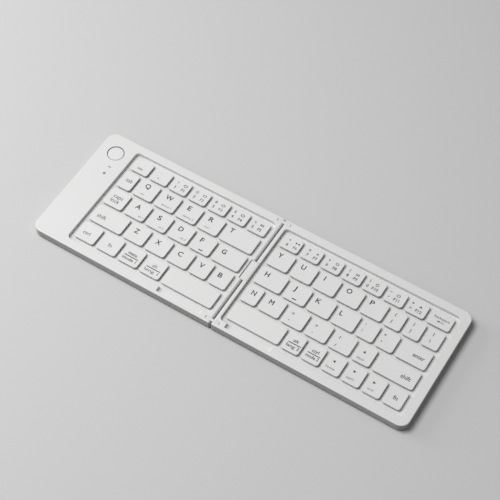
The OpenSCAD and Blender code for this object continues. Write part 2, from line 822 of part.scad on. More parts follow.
// Round button with the flange that keeps it under the bezel and the stem that meets the switch
module power_button() {
  x = -half_length + button_from_end;
  y = half_width - button_from_back;
  flange_top = skin_bottom - 0.1;
  stem_bottom = board_top + 1.0 + button_travel + 0.05;
  color(cap_white) translate([x, y, 0]) {
    translate([0, 0, flange_top - 0.1])
      cylinder(r = button_radius - 0.25, h = bezel_top - button_recess - flange_top + 0.1);
    translate([0, 0, flange_top - 0.1])
      cylinder(r = button_radius, h = bezel_top - button_recess - 0.25 - flange_top + 0.1);
    translate([0, 0, flange_top - 0.6]) cylinder(r = button_radius + button_gap + 0.5, h = 0.6);
    translate([0, 0, stem_bottom]) cylinder(r = 1.4, h = flange_top - 0.5 - stem_bottom);
  }
}

// Two plain links that hold the axles at the front and the back
module hinge_end_links() {
  color(steel_grey) for (m = [0, 1]) mirror([0, m, 0]) difference() {
    along_y(half_width - link_inset - link_thickness, half_width - link_inset) intersection() {
      union() {
        for (x = [-axle_offset, axle_offset]) translate([x, axle_height]) circle(link_reach);
        translate([-axle_offset, axle_height - link_reach])
          square([2 * axle_offset, 2 * link_reach]);
      }
      translate([-half_length, axle_height - link_drop])
        square([open_length, link_drop + axle_depth - link_top_gap]);
    }
    for (x = [0, 1]) mirror([x, 0, 0]) axle_bore();
  }
}

// Bar over the cable, carried on both axles, with a slightly crowned top
module hinge_cover() {
  width = 2 * axle_offset;
  crown_radius = (axle_offset * axle_offset + cover_crown * cover_crown) / (2 * cover_crown);
  color(shell_white) difference() {
    along_y(-centre_cover_length / 2, centre_cover_length / 2) {
      for (x = [-axle_offset, axle_offset]) translate([x, axle_height]) circle(ear_radius);
      translate([-axle_offset, axle_height - ear_radius]) square([width, 2 * ear_radius]);
      intersection() {
        translate([0, axle_height + ear_radius + cover_crown - crown_radius])
          circle(crown_radius, $fn = 180);
        translate([-axle_offset, axle_height]) square([width, 2 * ear_radius]);
      }
    }
    for (x = [0, 1]) mirror([x, 0, 0]) axle_bore();
  }
}

// Ribbon that rises out of each half and crosses under the cover
module hinge_flex_cable() {
  reach = hinge_bezel + 1.4;
  rise_x = hinge_bezel - 0.5;
  low = membrane_bottom;
  high = flex_window_top - 0.35;
  t = flex_thickness;
  color([0.8, 0.55, 0.2]) along_y(-flex_width / 2, flex_width / 2) polygon([
    [-reach, low], [-rise_x + t, low], [-rise_x + t, high], [rise_x - t, high], [rise_x - t, low],
    [reach, low], [reach, low + t], [rise_x, low + t], [rise_x, high + t], [-rise_x, high + t],
    [-rise_x, low + t], [-reach, low + t]
  ]);
}

module left_key_bed() { key_bed(LEFT); }
module right_key_bed() { key_bed(RIGHT); }
module left_dome_sheet() { dome_sheet(LEFT); }
module right_dome_sheet() { dome_sheet(RIGHT); }
module left_scissor_links() { scissor_links(LEFT); }
module right_scissor_links() { scissor_links(RIGHT); }
module left_membrane() { color([0.7, 0.8, 0.75]) sheet(LEFT, 1.5, membrane_bottom, membrane_top); }
module right_membrane() { color([0.7, 0.8, 0.75]) sheet(RIGHT, 1.5, membrane_bottom, membrane_top); }
module left_back_plate() { color(steel_grey) sheet(LEFT, 0.4, plate_bottom, plate_top); }
module right_back_plate() { color(steel_grey) sheet(RIGHT, 0.4, plate_bottom, plate_top); }
module left_feet() { color(rubber_grey) on_side(LEFT) feet_half(); }
module right_feet() { color(rubber_grey) on_side(RIGHT) feet_half(); }
module left_screws() { color(steel_grey) on_side(LEFT) screws_half(); }
module right_screws() { color(steel_grey) on_side(RIGHT) screws_half(); }
module left_hinge_axle() { color(steel_grey) on_side(LEFT) hinge_axle_half(); }
module right_hinge_axle() { color(steel_grey) on_side(RIGHT) hinge_axle_half(); }
module right_top_frame() { color(shell_white) top_frame_half(RIGHT); }
module right_bottom_cover() { color(shell_white) bottom_cover_half(); }

// Keys of the left half, by row and column
module left_number_keys() { keys_at(LEFT, [for (c = [0:6]) [0, c]]); }
module left_side_keys() {
  keys_at(LEFT, [[1, 0], [2, 0], [3, 0], [4, 0], [4, 1], [4, 2], [4, 3]]);
}
module left_space_bar() { keys_at(LEFT, [[4, 4]]); }
module key_q() { keys_at(LEFT, [[1, 1]]); }
module key_w() { keys_at(LEFT, [[1, 2]]); }
module key_e() { keys_at(LEFT, [[1, 3]]); }
module key_r() { keys_at(LEFT, [[1, 4]]); }
module key_t() { keys_at(LEFT, [[1, 5]]); }
module key_a() { keys_at(LEFT, [[2, 1]]); }
module key_s() { keys_at(LEFT, [[2, 2]]); }
module key_d() { keys_at(LEFT, [[2, 3]]); }
module key_f() { keys_at(LEFT, [[2, 4]]); }
module key_g() { keys_at(LEFT, [[2, 5]]); }
module key_z() { keys_at(LEFT, [[3, 1]]); }
module key_x() { keys_at(LEFT, [[3, 2]]); }
module key_c() { keys_at(LEFT, [[3, 3]]); }
module key_v() { keys_at(LEFT, [[3, 4]]); }
module key_b() { keys_at(LEFT, [[3, 5]]); }

// Keys of the right half, by row and column
module right_number_keys() { keys_at(RIGHT, [for (c = [0:7]) [0, c]]); }
module right_side_keys() {
  keys_at(RIGHT, [
    [1, 5], [1, 6], [1, 7], [2, 4], [2, 5], [2, 6], [3, 2], [3, 3], [3, 4], [3, 5], [3, 6],
    [4, 1], [4, 2], [4, 3], [4, 4], [4, 5], [4, 6]
  ]);
}
module right_space_bar() { keys_at(RIGHT, [[4, 0]]); }
module key_y() { keys_at(RIGHT, [[1, 0]]); }
module key_u() { keys_at(RIGHT, [[1, 1]]); }
module key_i() { keys_at(RIGHT, [[1, 2]]); }
module key_o() { keys_at(RIGHT, [[1, 3]]); }
module key_p() { keys_at(RIGHT, [[1, 4]]); }
module key_h() { keys_at(RIGHT, [[2, 0]]); }
module key_j() { keys_at(RIGHT, [[2, 1]]); }
module key_k() { keys_at(RIGHT, [[2, 2]]); }
module key_l() { keys_at(RIGHT, [[2, 3]]); }
module key_n() { keys_at(RIGHT, [[3, 0]]); }
module key_m() { keys_at(RIGHT, [[3, 1]]); }

left_top_frame();
left_bottom_cover();
left_key_bed();
left_dome_sheet();
left_membrane();
left_back_plate();
left_scissor_links();
left_feet();
left_screws();
left_hinge_axle();
main_board();
battery();
usb_port();
indicator_lenses();
power_button();
right_top_frame();
right_bottom_cover();
right_key_bed();
right_dome_sheet();
right_membrane();
right_back_plate();
right_scissor_links();
right_feet();
right_screws();
right_hinge_axle();
hinge_end_links();
hinge_cover();
hinge_flex_cable();
left_number_keys();
left_side_keys();
left_space_bar();
key_q();
key_w();
key_e();
key_r();
key_t();
key_a();
key_s();
key_d();
key_f();
key_g();
key_z();
key_x();
key_c();
key_v();
key_b();
right_number_keys();
right_side_keys();
right_space_bar();
key_y();
key_u();
key_i();
key_o();
key_p();
key_h();
key_j();
key_k();
key_l();
key_n();
key_m();
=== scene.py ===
import json
import math

import bmesh
import bpy
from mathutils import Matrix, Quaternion, Vector


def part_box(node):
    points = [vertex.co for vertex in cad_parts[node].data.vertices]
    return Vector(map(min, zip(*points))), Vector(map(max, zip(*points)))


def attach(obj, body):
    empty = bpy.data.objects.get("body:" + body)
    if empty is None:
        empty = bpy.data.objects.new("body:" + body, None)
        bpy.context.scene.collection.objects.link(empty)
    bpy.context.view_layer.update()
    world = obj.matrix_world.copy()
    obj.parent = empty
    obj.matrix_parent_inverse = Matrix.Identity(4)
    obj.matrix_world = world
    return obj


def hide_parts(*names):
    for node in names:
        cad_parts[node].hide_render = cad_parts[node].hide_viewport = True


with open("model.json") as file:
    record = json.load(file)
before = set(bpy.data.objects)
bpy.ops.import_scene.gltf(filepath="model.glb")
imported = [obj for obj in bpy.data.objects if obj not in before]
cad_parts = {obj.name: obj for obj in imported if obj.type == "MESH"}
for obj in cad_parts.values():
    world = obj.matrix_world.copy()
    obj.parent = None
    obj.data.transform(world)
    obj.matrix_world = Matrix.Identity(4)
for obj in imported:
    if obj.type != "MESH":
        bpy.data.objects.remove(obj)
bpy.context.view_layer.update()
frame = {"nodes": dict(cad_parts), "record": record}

MM = 0.001

# Keycaps, in millimetres
CAP_BOTTOM = 5.5
CAP_TOP = 7.0
CAP_UNDERSIDE = 6.1
CAP_WALL = 0.8
CAP_CORNER = 1.8
CAP_EDGE = 0.14
CAP_FOOT = 0.1
CAP_DISH = 0.11
SPACE_BAR_DISH = 0.03
# Caps wider than this are space bars
WIDE_CAP = 33.0
CORNER_STEPS = 7
EDGE_STEPS = 5
# How much less the corner radius gets for each millimetre that an outline is drawn in
CORNER_SHRINK = 0.7
# Where the rounding of the foot has its middle ring, as a share of the foot
FOOT_BEND = 0.3
# Shares of the way out from the middle at which the dished top has its rings
DISH_RINGS = (0.95, 0.86, 0.72, 0.54, 0.34, 0.14)

# Inside of a keycap, in millimetres
INNER_ROUND = 0.35
INNER_CORNER = 0.1
INNER_DRAFT = 0.05
POST_RADIUS = 1.2
POST_EDGE = 0.1
POST_REACH = 0.16
POST_STEPS = 20
CLIP_HALF_THICKNESS = 0.25
CLIP_CORNER = 0.1
CLIP_STEPS = 3
CLIP_REACH = 0.55
CLIP_FROM_WALL = 0.6
CLIP_FROM_SIDE = 1.8
# How far posts and clips reach into the cap's roof
ROOTED = 0.1

# Caps whose back edges differ by less than this stand in one row
ROW_GAP = 4.0

# Printed marks, in millimetres: how far they stand above the cap and reach into it
INK_ABOVE = 0.018
INK_BELOW = 0.03

# Power button, in millimetres
BUTTON_RADIUS = 5.8
BUTTON_EDGE = 0.3
BUTTON_CROWN = 0.08
BUTTON_STEPS = 96
BUTTON_EDGE_STEPS = 6
CROWN_RINGS = (0.9, 0.75, 0.55, 0.3, 0.1)
FLANGE_TOP = 6.2
FLANGE_THICKNESS = 0.6
FLANGE_EDGE = 0.1
STEM_RADIUS = 1.4
STEM_EDGE = 0.15

# Places of painted shade in the shells' hollows and of painted light on the wells' back wall, in
# metres
THUMB_RECESS_X = (-0.0446, 0.0094)
THUMB_RECESS_Y = -0.0445
BUTTON_MIDDLE = (-0.1329, 0.0338)
WELL_BACK_WALL = (0.0, 0.0429)
LINK_SLOT_X = -0.0053
LINK_SLOT_Y = (0.0461, -0.0461)
# How far each reaches from its middle along X and Y
THUMB_RECESS_REACH = (0.0036, 0.0045)
BUTTON_RING_REACH = (0.0067, 0.0067)
WELL_BACK_WALL_REACH = (0.139, 0.0004)
LINK_SLOT_REACH = (0.0004, 0.0012)

# Colours as linear red, green and blue
SHELL_TONE = (0.64, 0.64, 0.636)
CAP_TONE = (0.655, 0.655, 0.651)
INK_TONES = {"ink_dark": (0.035, 0.035, 0.038), "ink_strong": (0.07, 0.07, 0.073),
             "ink_mid": (0.11, 0.11, 0.115), "ink_light": (0.22, 0.22, 0.228)}
FLOOR_PALE = (0.53, 0.53, 0.53)
FLOOR_BOUNCE = (0.06, 0.06, 0.06)

# Strength of the world where it is seen directly, and where it lights the object
BACKDROP_TONE = 0.6
AMBIENT = 0.225

# Stage, in metres
FLOOR_REACH = 3.0
CAMERA_PLACE = (0.2628, -0.4354, 0.8001)
CAMERA_TARGET = (-0.00805, 0.01425, 0.0075)
CAMERA_CLIP = (0.05, 20.0)
# In degrees
CAMERA_ROLL = 0.823
# In millimetres
CAMERA_LENS = 100.32
CAMERA_SENSOR = 36.0
# Place and side in metres, power in watts
SOFTBOXES = {"left_softbox": ((-0.5, -0.2, 1.3), 0.7, 17.0),
             "low_softbox": ((-1.0, -0.1, 0.42), 0.5, 4.2)}


# Shader trees

def add(tree, kind, values=None, **settings):
    """A node of that kind, with settings on the node and values on its inputs."""
    made = tree.nodes.new(kind)
    for name, value in settings.items():
        setattr(made, name, value)
    for name, value in (values or {}).items():
        made.inputs[name].default_value = value
    return made


def wire(tree, source, target):
    """Links an output to an input."""
    tree.links.new(source, target)


def group(name, inputs, outputs):
    """An empty shader group with float inputs and outputs, and its two end nodes."""
    tree = bpy.data.node_groups.new(name, "ShaderNodeTree")
    for label, value in inputs.items():
        socket = tree.interface.new_socket(label, in_out="INPUT", socket_type="NodeSocketFloat")
        socket.default_value = value
    for label in outputs:
        tree.interface.new_socket(label, in_out="OUTPUT", socket_type="NodeSocketFloat")
    return tree, add(tree, "NodeGroupInput"), add(tree, "NodeGroupOutput")


def place(tree, source, values=None):
    """A group inside a material, with its own values."""
    made = add(tree, "ShaderNodeGroup", node_tree=source)
    for name, value in (values or {}).items():
        made.inputs[name].default_value = value
    return made


def scaled_noise(tree, ends, coordinates, scale_socket, detail):
    """Noise over the object's own coordinates, its scale taken from a group input."""
    noise = add(tree, "ShaderNodeTexNoise", {"Detail": detail, "Roughness": 0.55})
    wire(tree, coordinates.outputs["Object"], noise.inputs["Vector"])
    wire(tree, ends.outputs[scale_socket], noise.inputs["Scale"])
    return noise


def moulded_grain_group():
    """Fine spark-eroded texture of a moulded shell, with a slow drift of tone."""
    tree, start, end = group("moulded_grain", {"Grain Scale": 2600.0, "Drift Scale": 35.0},
                             ["Height", "Tone"])
    coordinates = add(tree, "ShaderNodeTexCoord")
    fine = scaled_noise(tree, start, coordinates, "Grain Scale", 3.0)
    drift = scaled_noise(tree, start, coordinates, "Drift Scale", 2.0)
    cells = add(tree, "ShaderNodeTexVoronoi", {"Randomness": 1.0}, feature="SMOOTH_F1")
    wire(tree, coordinates.outputs["Object"], cells.inputs["Vector"])
    wire(tree, start.outputs["Grain Scale"], cells.inputs["Scale"])
    mixed = add(tree, "ShaderNodeMath", operation="ADD")
    wire(tree, fine.outputs["Fac"], mixed.inputs[0])
    wire(tree, cells.outputs["Distance"], mixed.inputs[1])
    wire(tree, mixed.outputs[0], end.inputs["Height"])
    wire(tree, drift.outputs["Fac"], end.inputs["Tone"])
    return tree


def touch_polish_group():
    """Roughness that falls a little in patches, as where fingers have polished a satin surface."""
    tree, start, end = group("touch_polish", {"Patch Scale": 120.0, "Rough": 0.45, "Polish": 0.06},
                             ["Roughness"])
    coordinates = add(tree, "ShaderNodeTexCoord")
    patches = scaled_noise(tree, start, coordinates, "Patch Scale", 4.0)
    spread = add(tree, "ShaderNodeMapRange", {"From Min": 0.35, "From Max": 0.7})
    wire(tree, patches.outputs["Fac"], spread.inputs["Value"])
    amount = add(tree, "ShaderNodeMath", operation="MULTIPLY")
    wire(tree, spread.outputs["Result"], amount.inputs[0])
    wire(tree, start.outputs["Polish"], amount.inputs[1])
    lowered = add(tree, "ShaderNodeMath", operation="SUBTRACT")
    wire(tree, start.outputs["Rough"], lowered.inputs[0])
    wire(tree, amount.outputs[0], lowered.inputs[1])
    wire(tree, lowered.outputs[0], end.inputs["Roughness"])
    return tree


def drawn_lines_group():
    """Lines that a drawing die, a lathe or a rolling mill leaves along the depth of the object."""
    tree, start, end = group("drawn_lines", {"Across": 6000.0, "Along": 120.0}, ["Height", "Tone"])
    coordinates = add(tree, "ShaderNodeTexCoord")
    stretch = add(tree, "ShaderNodeCombineXYZ")
    wire(tree, start.outputs["Across"], stretch.inputs["X"])
    wire(tree, start.outputs["Along"], stretch.inputs["Y"])
    wire(tree, start.outputs["Across"], stretch.inputs["Z"])
    spread = add(tree, "ShaderNodeVectorMath", operation="MULTIPLY")
    wire(tree, coordinates.outputs["Object"], spread.inputs[0])
    wire(tree, stretch.outputs[0], spread.inputs[1])
    lines = add(tree, "ShaderNodeTexNoise", {"Scale": 1.0, "Detail": 3.0})
    wire(tree, spread.outputs[0], lines.inputs["Vector"])
    wire(tree, lines.outputs["Fac"], end.inputs["Height"])
    wire(tree, lines.outputs["Fac"], end.inputs["Tone"])
    return tree


def printed_tracks_group():
    """Mask of parallel printed conductors with crossings, for boards, membranes and ribbons."""
    tree, start, end = group("printed_tracks", {"Pitch": 1200.0, "Wander": 0.6}, ["Track"])
    coordinates = add(tree, "ShaderNodeTexCoord")
    waves = add(tree, "ShaderNodeTexWave", {"Detail": 1.0, "Detail Scale": 0.35},
                wave_type="BANDS", bands_direction="X", wave_profile="SIN")
    wire(tree, coordinates.outputs["Object"], waves.inputs["Vector"])
    wire(tree, start.outputs["Pitch"], waves.inputs["Scale"])
    wire(tree, start.outputs["Wander"], waves.inputs["Distortion"])
    sharp = add(tree, "ShaderNodeMapRange", {"From Min": 0.6, "From Max": 0.68})
    wire(tree, waves.outputs["Fac"], sharp.inputs["Value"])
    wire(tree, sharp.outputs["Result"], end.inputs["Track"])
    return tree


def painted_shade_light_mask_group():
    """Mask of painted shade in a hollow: one deep inside it and nought at its top and beyond its
    reach.

    Faces turned to +X, away from the lamps, keep the whole mask as the deepest painted shade. Side
    is the share of it that all others lose.
    """
    tree, start, end = group("painted_shade_light_mask", {"X": 0.0, "Y": 0.0, "Reach X": 1.0, "Reach Y": 1.0,
                                              "Fade": 0.001, "Top": 0.0075, "Depth": 0.001,
                                              "Floor": -1.0, "Side": 0.0}, ["Mask"])

    def step(operation, first, second=None, clamp=False):
        made = add(tree, "ShaderNodeMath", operation=operation, use_clamp=clamp)
        for socket, source in zip(made.inputs, (first, second)):
            if isinstance(source, float):
                socket.default_value = source
            elif source is not None:
                wire(tree, source, socket)
        return made.outputs[0]

    coordinates = add(tree, "ShaderNodeTexCoord")
    parts = add(tree, "ShaderNodeSeparateXYZ")
    wire(tree, coordinates.outputs["Object"], parts.inputs[0])
    given = start.outputs
    below = step("SUBTRACT", given["Top"], parts.outputs["Z"])
    mask = step("DIVIDE", below, given["Depth"], True)
    mask = step("MULTIPLY", mask, step("GREATER_THAN", parts.outputs["Z"], given["Floor"]))
    for axis in ("X", "Y"):
        away = step("ABSOLUTE", step("SUBTRACT", parts.outputs[axis], given[axis]))
        left = step("SUBTRACT", given["Reach " + axis], away)
        mask = step("MULTIPLY", mask, step("DIVIDE", left, given["Fade"], True))
    facing = add(tree, "ShaderNodeSeparateXYZ")
    wire(tree, coordinates.outputs["Normal"], facing.inputs[0])
    turned = add(tree, "ShaderNodeMapRange", {"From Min": 0.0, "From Max": 1.0, "To Max": 1.0})
    wire(tree, facing.outputs["X"], turned.inputs["Value"])
    wire(tree, step("SUBTRACT", 1.0, given["Side"]), turned.inputs["To Min"])
    wire(tree, step("MULTIPLY", mask, turned.outputs["Result"]), end.inputs["Mask"])
    return tree


GRAIN = moulded_grain_group()
PAINTED_SHADE_LIGHT_MASK = painted_shade_light_mask_group()
POLISH = touch_polish_group()
LINES = drawn_lines_group()
TRACKS = printed_tracks_group()


def finish(name, **settings):
    """A material with its Principled shader, settings put on the shader's own sockets."""
    material = bpy.data.materials.new(name)
    material.use_nodes = True
    shader = material.node_tree.nodes["Principled BSDF"]
    for label, value in settings.items():
        shader.inputs[label.replace("_", " ")].default_value = value
    return material, material.node_tree, shader


def two_tone(tree, shader, mask, low, high):
    """Base colour between two tones by a mask; gives that colour back for further mixing."""
    mix = add(tree, "ShaderNodeMix", data_type="RGBA")
    mix.inputs["A"].default_value = (*low, 1)
    mix.inputs["B"].default_value = (*high, 1)
    wire(tree, mask, mix.inputs["Factor"])
    wire(tree, mix.outputs["Result"], shader.inputs["Base Color"])
    return mix.outputs["Result"]


def dent(tree, shader, height, strength, distance):
    """Bump by a height, over a distance in metres."""
    bump = add(tree, "ShaderNodeBump", {"Strength": strength, "Distance": distance})
    wire(tree, height, bump.inputs["Height"])
    wire(tree, bump.outputs["Normal"], shader.inputs["Normal"])


def wear(tree, shader, rough, patch_scale=120.0, polish=0.06):
    """Roughness with finger-polished patches."""
    patches = place(tree, POLISH, {"Rough": rough, "Patch Scale": patch_scale, "Polish": polish})
    wire(tree, patches.outputs["Roughness"], shader.inputs["Roughness"])


def darker(tone, share):
    """The tone with that share of it taken off."""
    return tuple(c * (1 - share) for c in tone)


def hollow(x, y, reach_x, reach_y, share, top, depth, fade=0.0001, floor=0.0052, side=0.0):
    """Values of one patch of painted shade for a material, in metres, with the share of the tone
    lost in it; a share below nought paints light.
    """
    return {"X": x, "Y": y, "Reach X": reach_x, "Reach Y": reach_y, "Fade": fade, "Top": top,
            "Depth": depth, "Floor": floor, "Side": side}, share


def painted_shade_below(share, top, depth, side=0.0):
    """Painted shade as wide as the whole object: everything below that height."""
    return hollow(0.0, 0.0, 1.0, 1.0, share, top, depth, fade=0.001, floor=-1.0, side=side)


def shell_painted_shading():
    """Painted shade in the thumb recesses, the ring about the button and the link slots, and
    painted light on the wells' back wall.
    """
    recesses = [hollow(x, THUMB_RECESS_Y, *THUMB_RECESS_REACH, share=0.55, top=0.00745,
                       depth=0.0008, fade=0.0032) for x in THUMB_RECESS_X]
    button_ring_painted_shade = hollow(*BUTTON_MIDDLE, *BUTTON_RING_REACH, share=0.5, top=0.00748, depth=0.0003)
    # Painted light: a lighter tone on the wells' back wall.
    back_wall_painted_light = hollow(*WELL_BACK_WALL, *WELL_BACK_WALL_REACH, share=-0.2, top=0.00749,
                       depth=0.0001)
    slots = [hollow(LINK_SLOT_X, y, *LINK_SLOT_REACH, share=0.75, top=0.00749, depth=0.0002)
             for y in LINK_SLOT_Y]
    return [*recesses, button_ring_painted_shade, back_wall_painted_light, *slots]


def paint_shading_into_hollows(tree, shader, colour, tone, painted_shading):
    """Paints shade into each hollow as a darker tone, or paints light as a lighter one where its
    share is below nought.
    """
    for values, share in painted_shading:
        mask = place(tree, PAINTED_SHADE_LIGHT_MASK, values)
        mix = add(tree, "ShaderNodeMix", data_type="RGBA")
        mix.inputs["B"].default_value = (*darker(tone, share), 1)
        wire(tree, mask.outputs["Mask"], mix.inputs["Factor"])
        wire(tree, colour, mix.inputs["A"])
        colour = mix.outputs["Result"]
    wire(tree, colour, shader.inputs["Base Color"])


def moulded_plastic(name, tone, rough, grain_depth, grain_scale=2600.0, drift=0.025, painted_shading=(),
                    **settings):
    """Satin moulded plastic: slow tone drift, eroded grain, finger-polished patches and any painted
    shade and light it is given.
    """
    material, tree, shader = finish(name, **settings)
    grain = place(tree, GRAIN, {"Grain Scale": grain_scale})
    colour = two_tone(tree, shader, grain.outputs["Tone"], darker(tone, drift), tone)
    paint_shading_into_hollows(tree, shader, colour, tone, painted_shading)
    dent(tree, shader, grain.outputs["Height"], strength=0.35, distance=grain_depth)
    wear(tree, shader, rough)
    return material


def drawn_metal(name, tone, rough, line_depth, **settings):
    """Metal with fine drawing lines and a little tone between them."""
    material, tree, shader = finish(name, Metallic=1.0, **settings)
    lines = place(tree, LINES)
    two_tone(tree, shader, lines.outputs["Tone"], darker(tone, 0.12), tone)
    dent(tree, shader, lines.outputs["Height"], strength=0.3, distance=line_depth)
    wear(tree, shader, rough, patch_scale=300.0)
    return material


def printed_ink(name, tone):
    """Matt printed ink with a slightly uneven film."""
    material, tree, shader = finish(name)
    grain = place(tree, GRAIN, {"Grain Scale": 4000.0, "Drift Scale": 900.0})
    two_tone(tree, shader, grain.outputs["Tone"], darker(tone, 0.25), tone)
    wear(tree, shader, rough=0.6, patch_scale=800.0, polish=0.12)
    return material


def tracked_film(name, ground, track, rough, pitch, wander, **settings):
    """Plastic film or solder mask with printed conductors showing."""
    material, tree, shader = finish(name, **settings)
    tracks = place(tree, TRACKS, {"Pitch": pitch, "Wander": wander})
    two_tone(tree, shader, tracks.outputs["Track"], ground, track)
    dent(tree, shader, tracks.outputs["Track"], strength=0.5, distance=0.00002)
    wear(tree, shader, rough, patch_scale=200.0)
    return material


def foil_pouch(name, tone):
    """Creased foil of a flat battery."""
    material, tree, shader = finish(name, Metallic=0.85)
    grain = place(tree, GRAIN, {"Grain Scale": 260.0, "Drift Scale": 90.0})
    two_tone(tree, shader, grain.outputs["Tone"], darker(tone, 0.2), tone)
    dent(tree, shader, grain.outputs["Height"], strength=0.5, distance=0.00015)
    wear(tree, shader, rough=0.34, patch_scale=150.0, polish=0.1)
    return material


def finishes():
    """The finish of every material slot in the record."""
    return {
        # Painted shade in the shell's hollows and painted light on the wells' back wall.
        "shell_white": moulded_plastic("satin_shell_white", SHELL_TONE, rough=0.46,
                                       grain_depth=0.000012, painted_shading=shell_painted_shading()),
        # Painted shade on the keycaps' sides below the top, deepest on faces turned to +X.
        "keycap_white": moulded_plastic("satin_keycap_white", CAP_TONE, rough=0.4,
                                        grain_depth=0.000008, grain_scale=3200.0,
                                        painted_shading=[painted_shade_below(0.4, top=0.0069, depth=0.0004, side=0.75)]),
        "steel": drawn_metal("turned_steel", (0.56, 0.57, 0.58), rough=0.32, line_depth=0.000006),
        "plate_aluminium": drawn_metal("rolled_aluminium", (0.72, 0.73, 0.74), rough=0.42,
                                       line_depth=0.00001),
        "rubber_grey": moulded_plastic("matt_rubber_grey", (0.16, 0.16, 0.165), rough=0.8,
                                       grain_depth=0.00003, grain_scale=1500.0, drift=0.2),
        "link_plastic": moulded_plastic("natural_link_plastic", (0.62, 0.63, 0.64), rough=0.35,
                                        grain_depth=0.000005),
        "membrane_film": tracked_film("printed_membrane", (0.55, 0.62, 0.6), (0.42, 0.44, 0.45),
                                      rough=0.3, pitch=260.0, wander=1.2),
        "board_green": tracked_film("solder_mask_green", (0.02, 0.12, 0.05), (0.05, 0.2, 0.09),
                                    rough=0.35, pitch=500.0, wander=2.5),
        "battery_foil": foil_pouch("battery_foil", (0.6, 0.6, 0.62)),
        "lens_grey": moulded_plastic("smoked_lens", (0.36, 0.36, 0.37), rough=0.18,
                                     grain_depth=0.000002, grain_scale=2000.0, drift=0.1,
                                     Transmission_Weight=0.25, IOR=1.49),
        "flex_film": tracked_film("amber_flex", (0.5, 0.25, 0.05), (0.62, 0.36, 0.12), rough=0.3,
                                  pitch=900.0, wander=0.0),
    }


FINISH = finishes()
# Painted shade on the button's side wall below its top.
BUTTON_FINISH = moulded_plastic("satin_button_white", CAP_TONE, rough=0.4, grain_depth=0.000008,
                                grain_scale=3200.0,
                                painted_shading=[painted_shade_below(0.5, top=0.0073, depth=0.0003)])
INKS = [printed_ink(name, tone) for name, tone in INK_TONES.items()]


# Mesh helpers, all in millimetres until a piece is placed

LEAST_RADIUS = 0.02
LEAST_FLAT = 0.01
WELD_DISTANCE = 1e-6


def rounded_rectangle(half_width, half_depth, radius, steps):
    """Points of a rounded rectangle about its centre, anticlockwise."""
    radius = max(LEAST_RADIUS, min(radius, half_width - LEAST_FLAT, half_depth - LEAST_FLAT))
    points = []
    for quarter, (sx, sy) in enumerate(((1, 1), (-1, 1), (-1, -1), (1, -1))):
        for step in range(steps + 1):
            turn = math.radians(90 * (quarter + step / steps))
            points.append((sx * (half_width - radius) + radius * math.cos(turn),
                           sy * (half_depth - radius) + radius * math.sin(turn)))
    return points


def circle(radius, steps):
    """Points of a circle about its centre, anticlockwise."""
    return [(radius * math.cos(2 * math.pi * k / steps), radius * math.sin(2 * math.pi * k / steps))
            for k in range(steps)]


def loft(mesh, loops):
    """Skins loops of equal length, each a list of (x, y, z), and closes both ends with a face."""
    rings = [[mesh.verts.new(p) for p in loop] for loop in loops]
    count = len(rings[0])
    faces = []
    for low, high in zip(rings, rings[1:]):
        for k in range(count):
            faces.append(mesh.faces.new((low[k], low[(k + 1) % count], high[(k + 1) % count],
                                         high[k])))
    faces.append(mesh.faces.new(list(reversed(rings[0]))))
    faces.append(mesh.faces.new(rings[-1]))
    for face in faces:
        face.smooth = True


def sharpen(mesh, limit_degrees=38):
    """Marks edges sharper than the limit, so that flat faces stay flat beside soft edges."""
    limit = math.radians(limit_degrees)
    for edge in mesh.edges:
        if len(edge.link_faces) == 2 and edge.calc_face_angle(0) > limit:
            edge.smooth = False


def piece(name, mesh, materials, body, stands_for):
    """A finished piece from a mesh in millimetres, riding on a body and standing for CAD nodes."""
    bmesh.ops.recalc_face_normals(mesh, faces=mesh.faces)
    bmesh.ops.scale(mesh, vec=(MM, MM, MM), verts=mesh.verts)
    sharpen(mesh)
    data = bpy.data.meshes.new(name)
    mesh.to_mesh(data)
    mesh.free()
    for material in materials:
        data.materials.append(material)
    made = bpy.data.objects.new(name, data)
    bpy.context.scene.collection.objects.link(made)
    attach(made, body)
    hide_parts(*stands_for)


# Keycaps

def islands(node):
    """Boxes, in millimetres, of the separate solids of a CAD node."""
    mesh = bmesh.new()
    mesh.from_mesh(frame["nodes"][node].data)
    bmesh.ops.remove_doubles(mesh, verts=mesh.verts, dist=WELD_DISTANCE)
    unseen = set(mesh.verts)
    boxes = []
    while unseen:
        waiting = [unseen.pop()]
        low, high = waiting[0].co.copy(), waiting[0].co.copy()
        while waiting:
            vert = waiting.pop()
            low = Vector(map(min, low, vert.co))
            high = Vector(map(max, high, vert.co))
            for edge in vert.link_edges:
                other = edge.other_vert(vert)
                if other in unseen:
                    unseen.remove(other)
                    waiting.append(other)
        boxes.append((low / MM, high / MM))
    mesh.free()
    return boxes


def cap_surface(half_width, half_depth, dish):
    """Height of a keycap's dished top over its own centre."""
    flat_x = half_width - CAP_EDGE
    flat_y = half_depth - CAP_EDGE

    def height(x, y):
        across = max(0.0, 1 - (x / flat_x) ** 2)
        along = max(0.0, 1 - (y / flat_y) ** 2)
        return CAP_TOP - dish * across * along
    return height


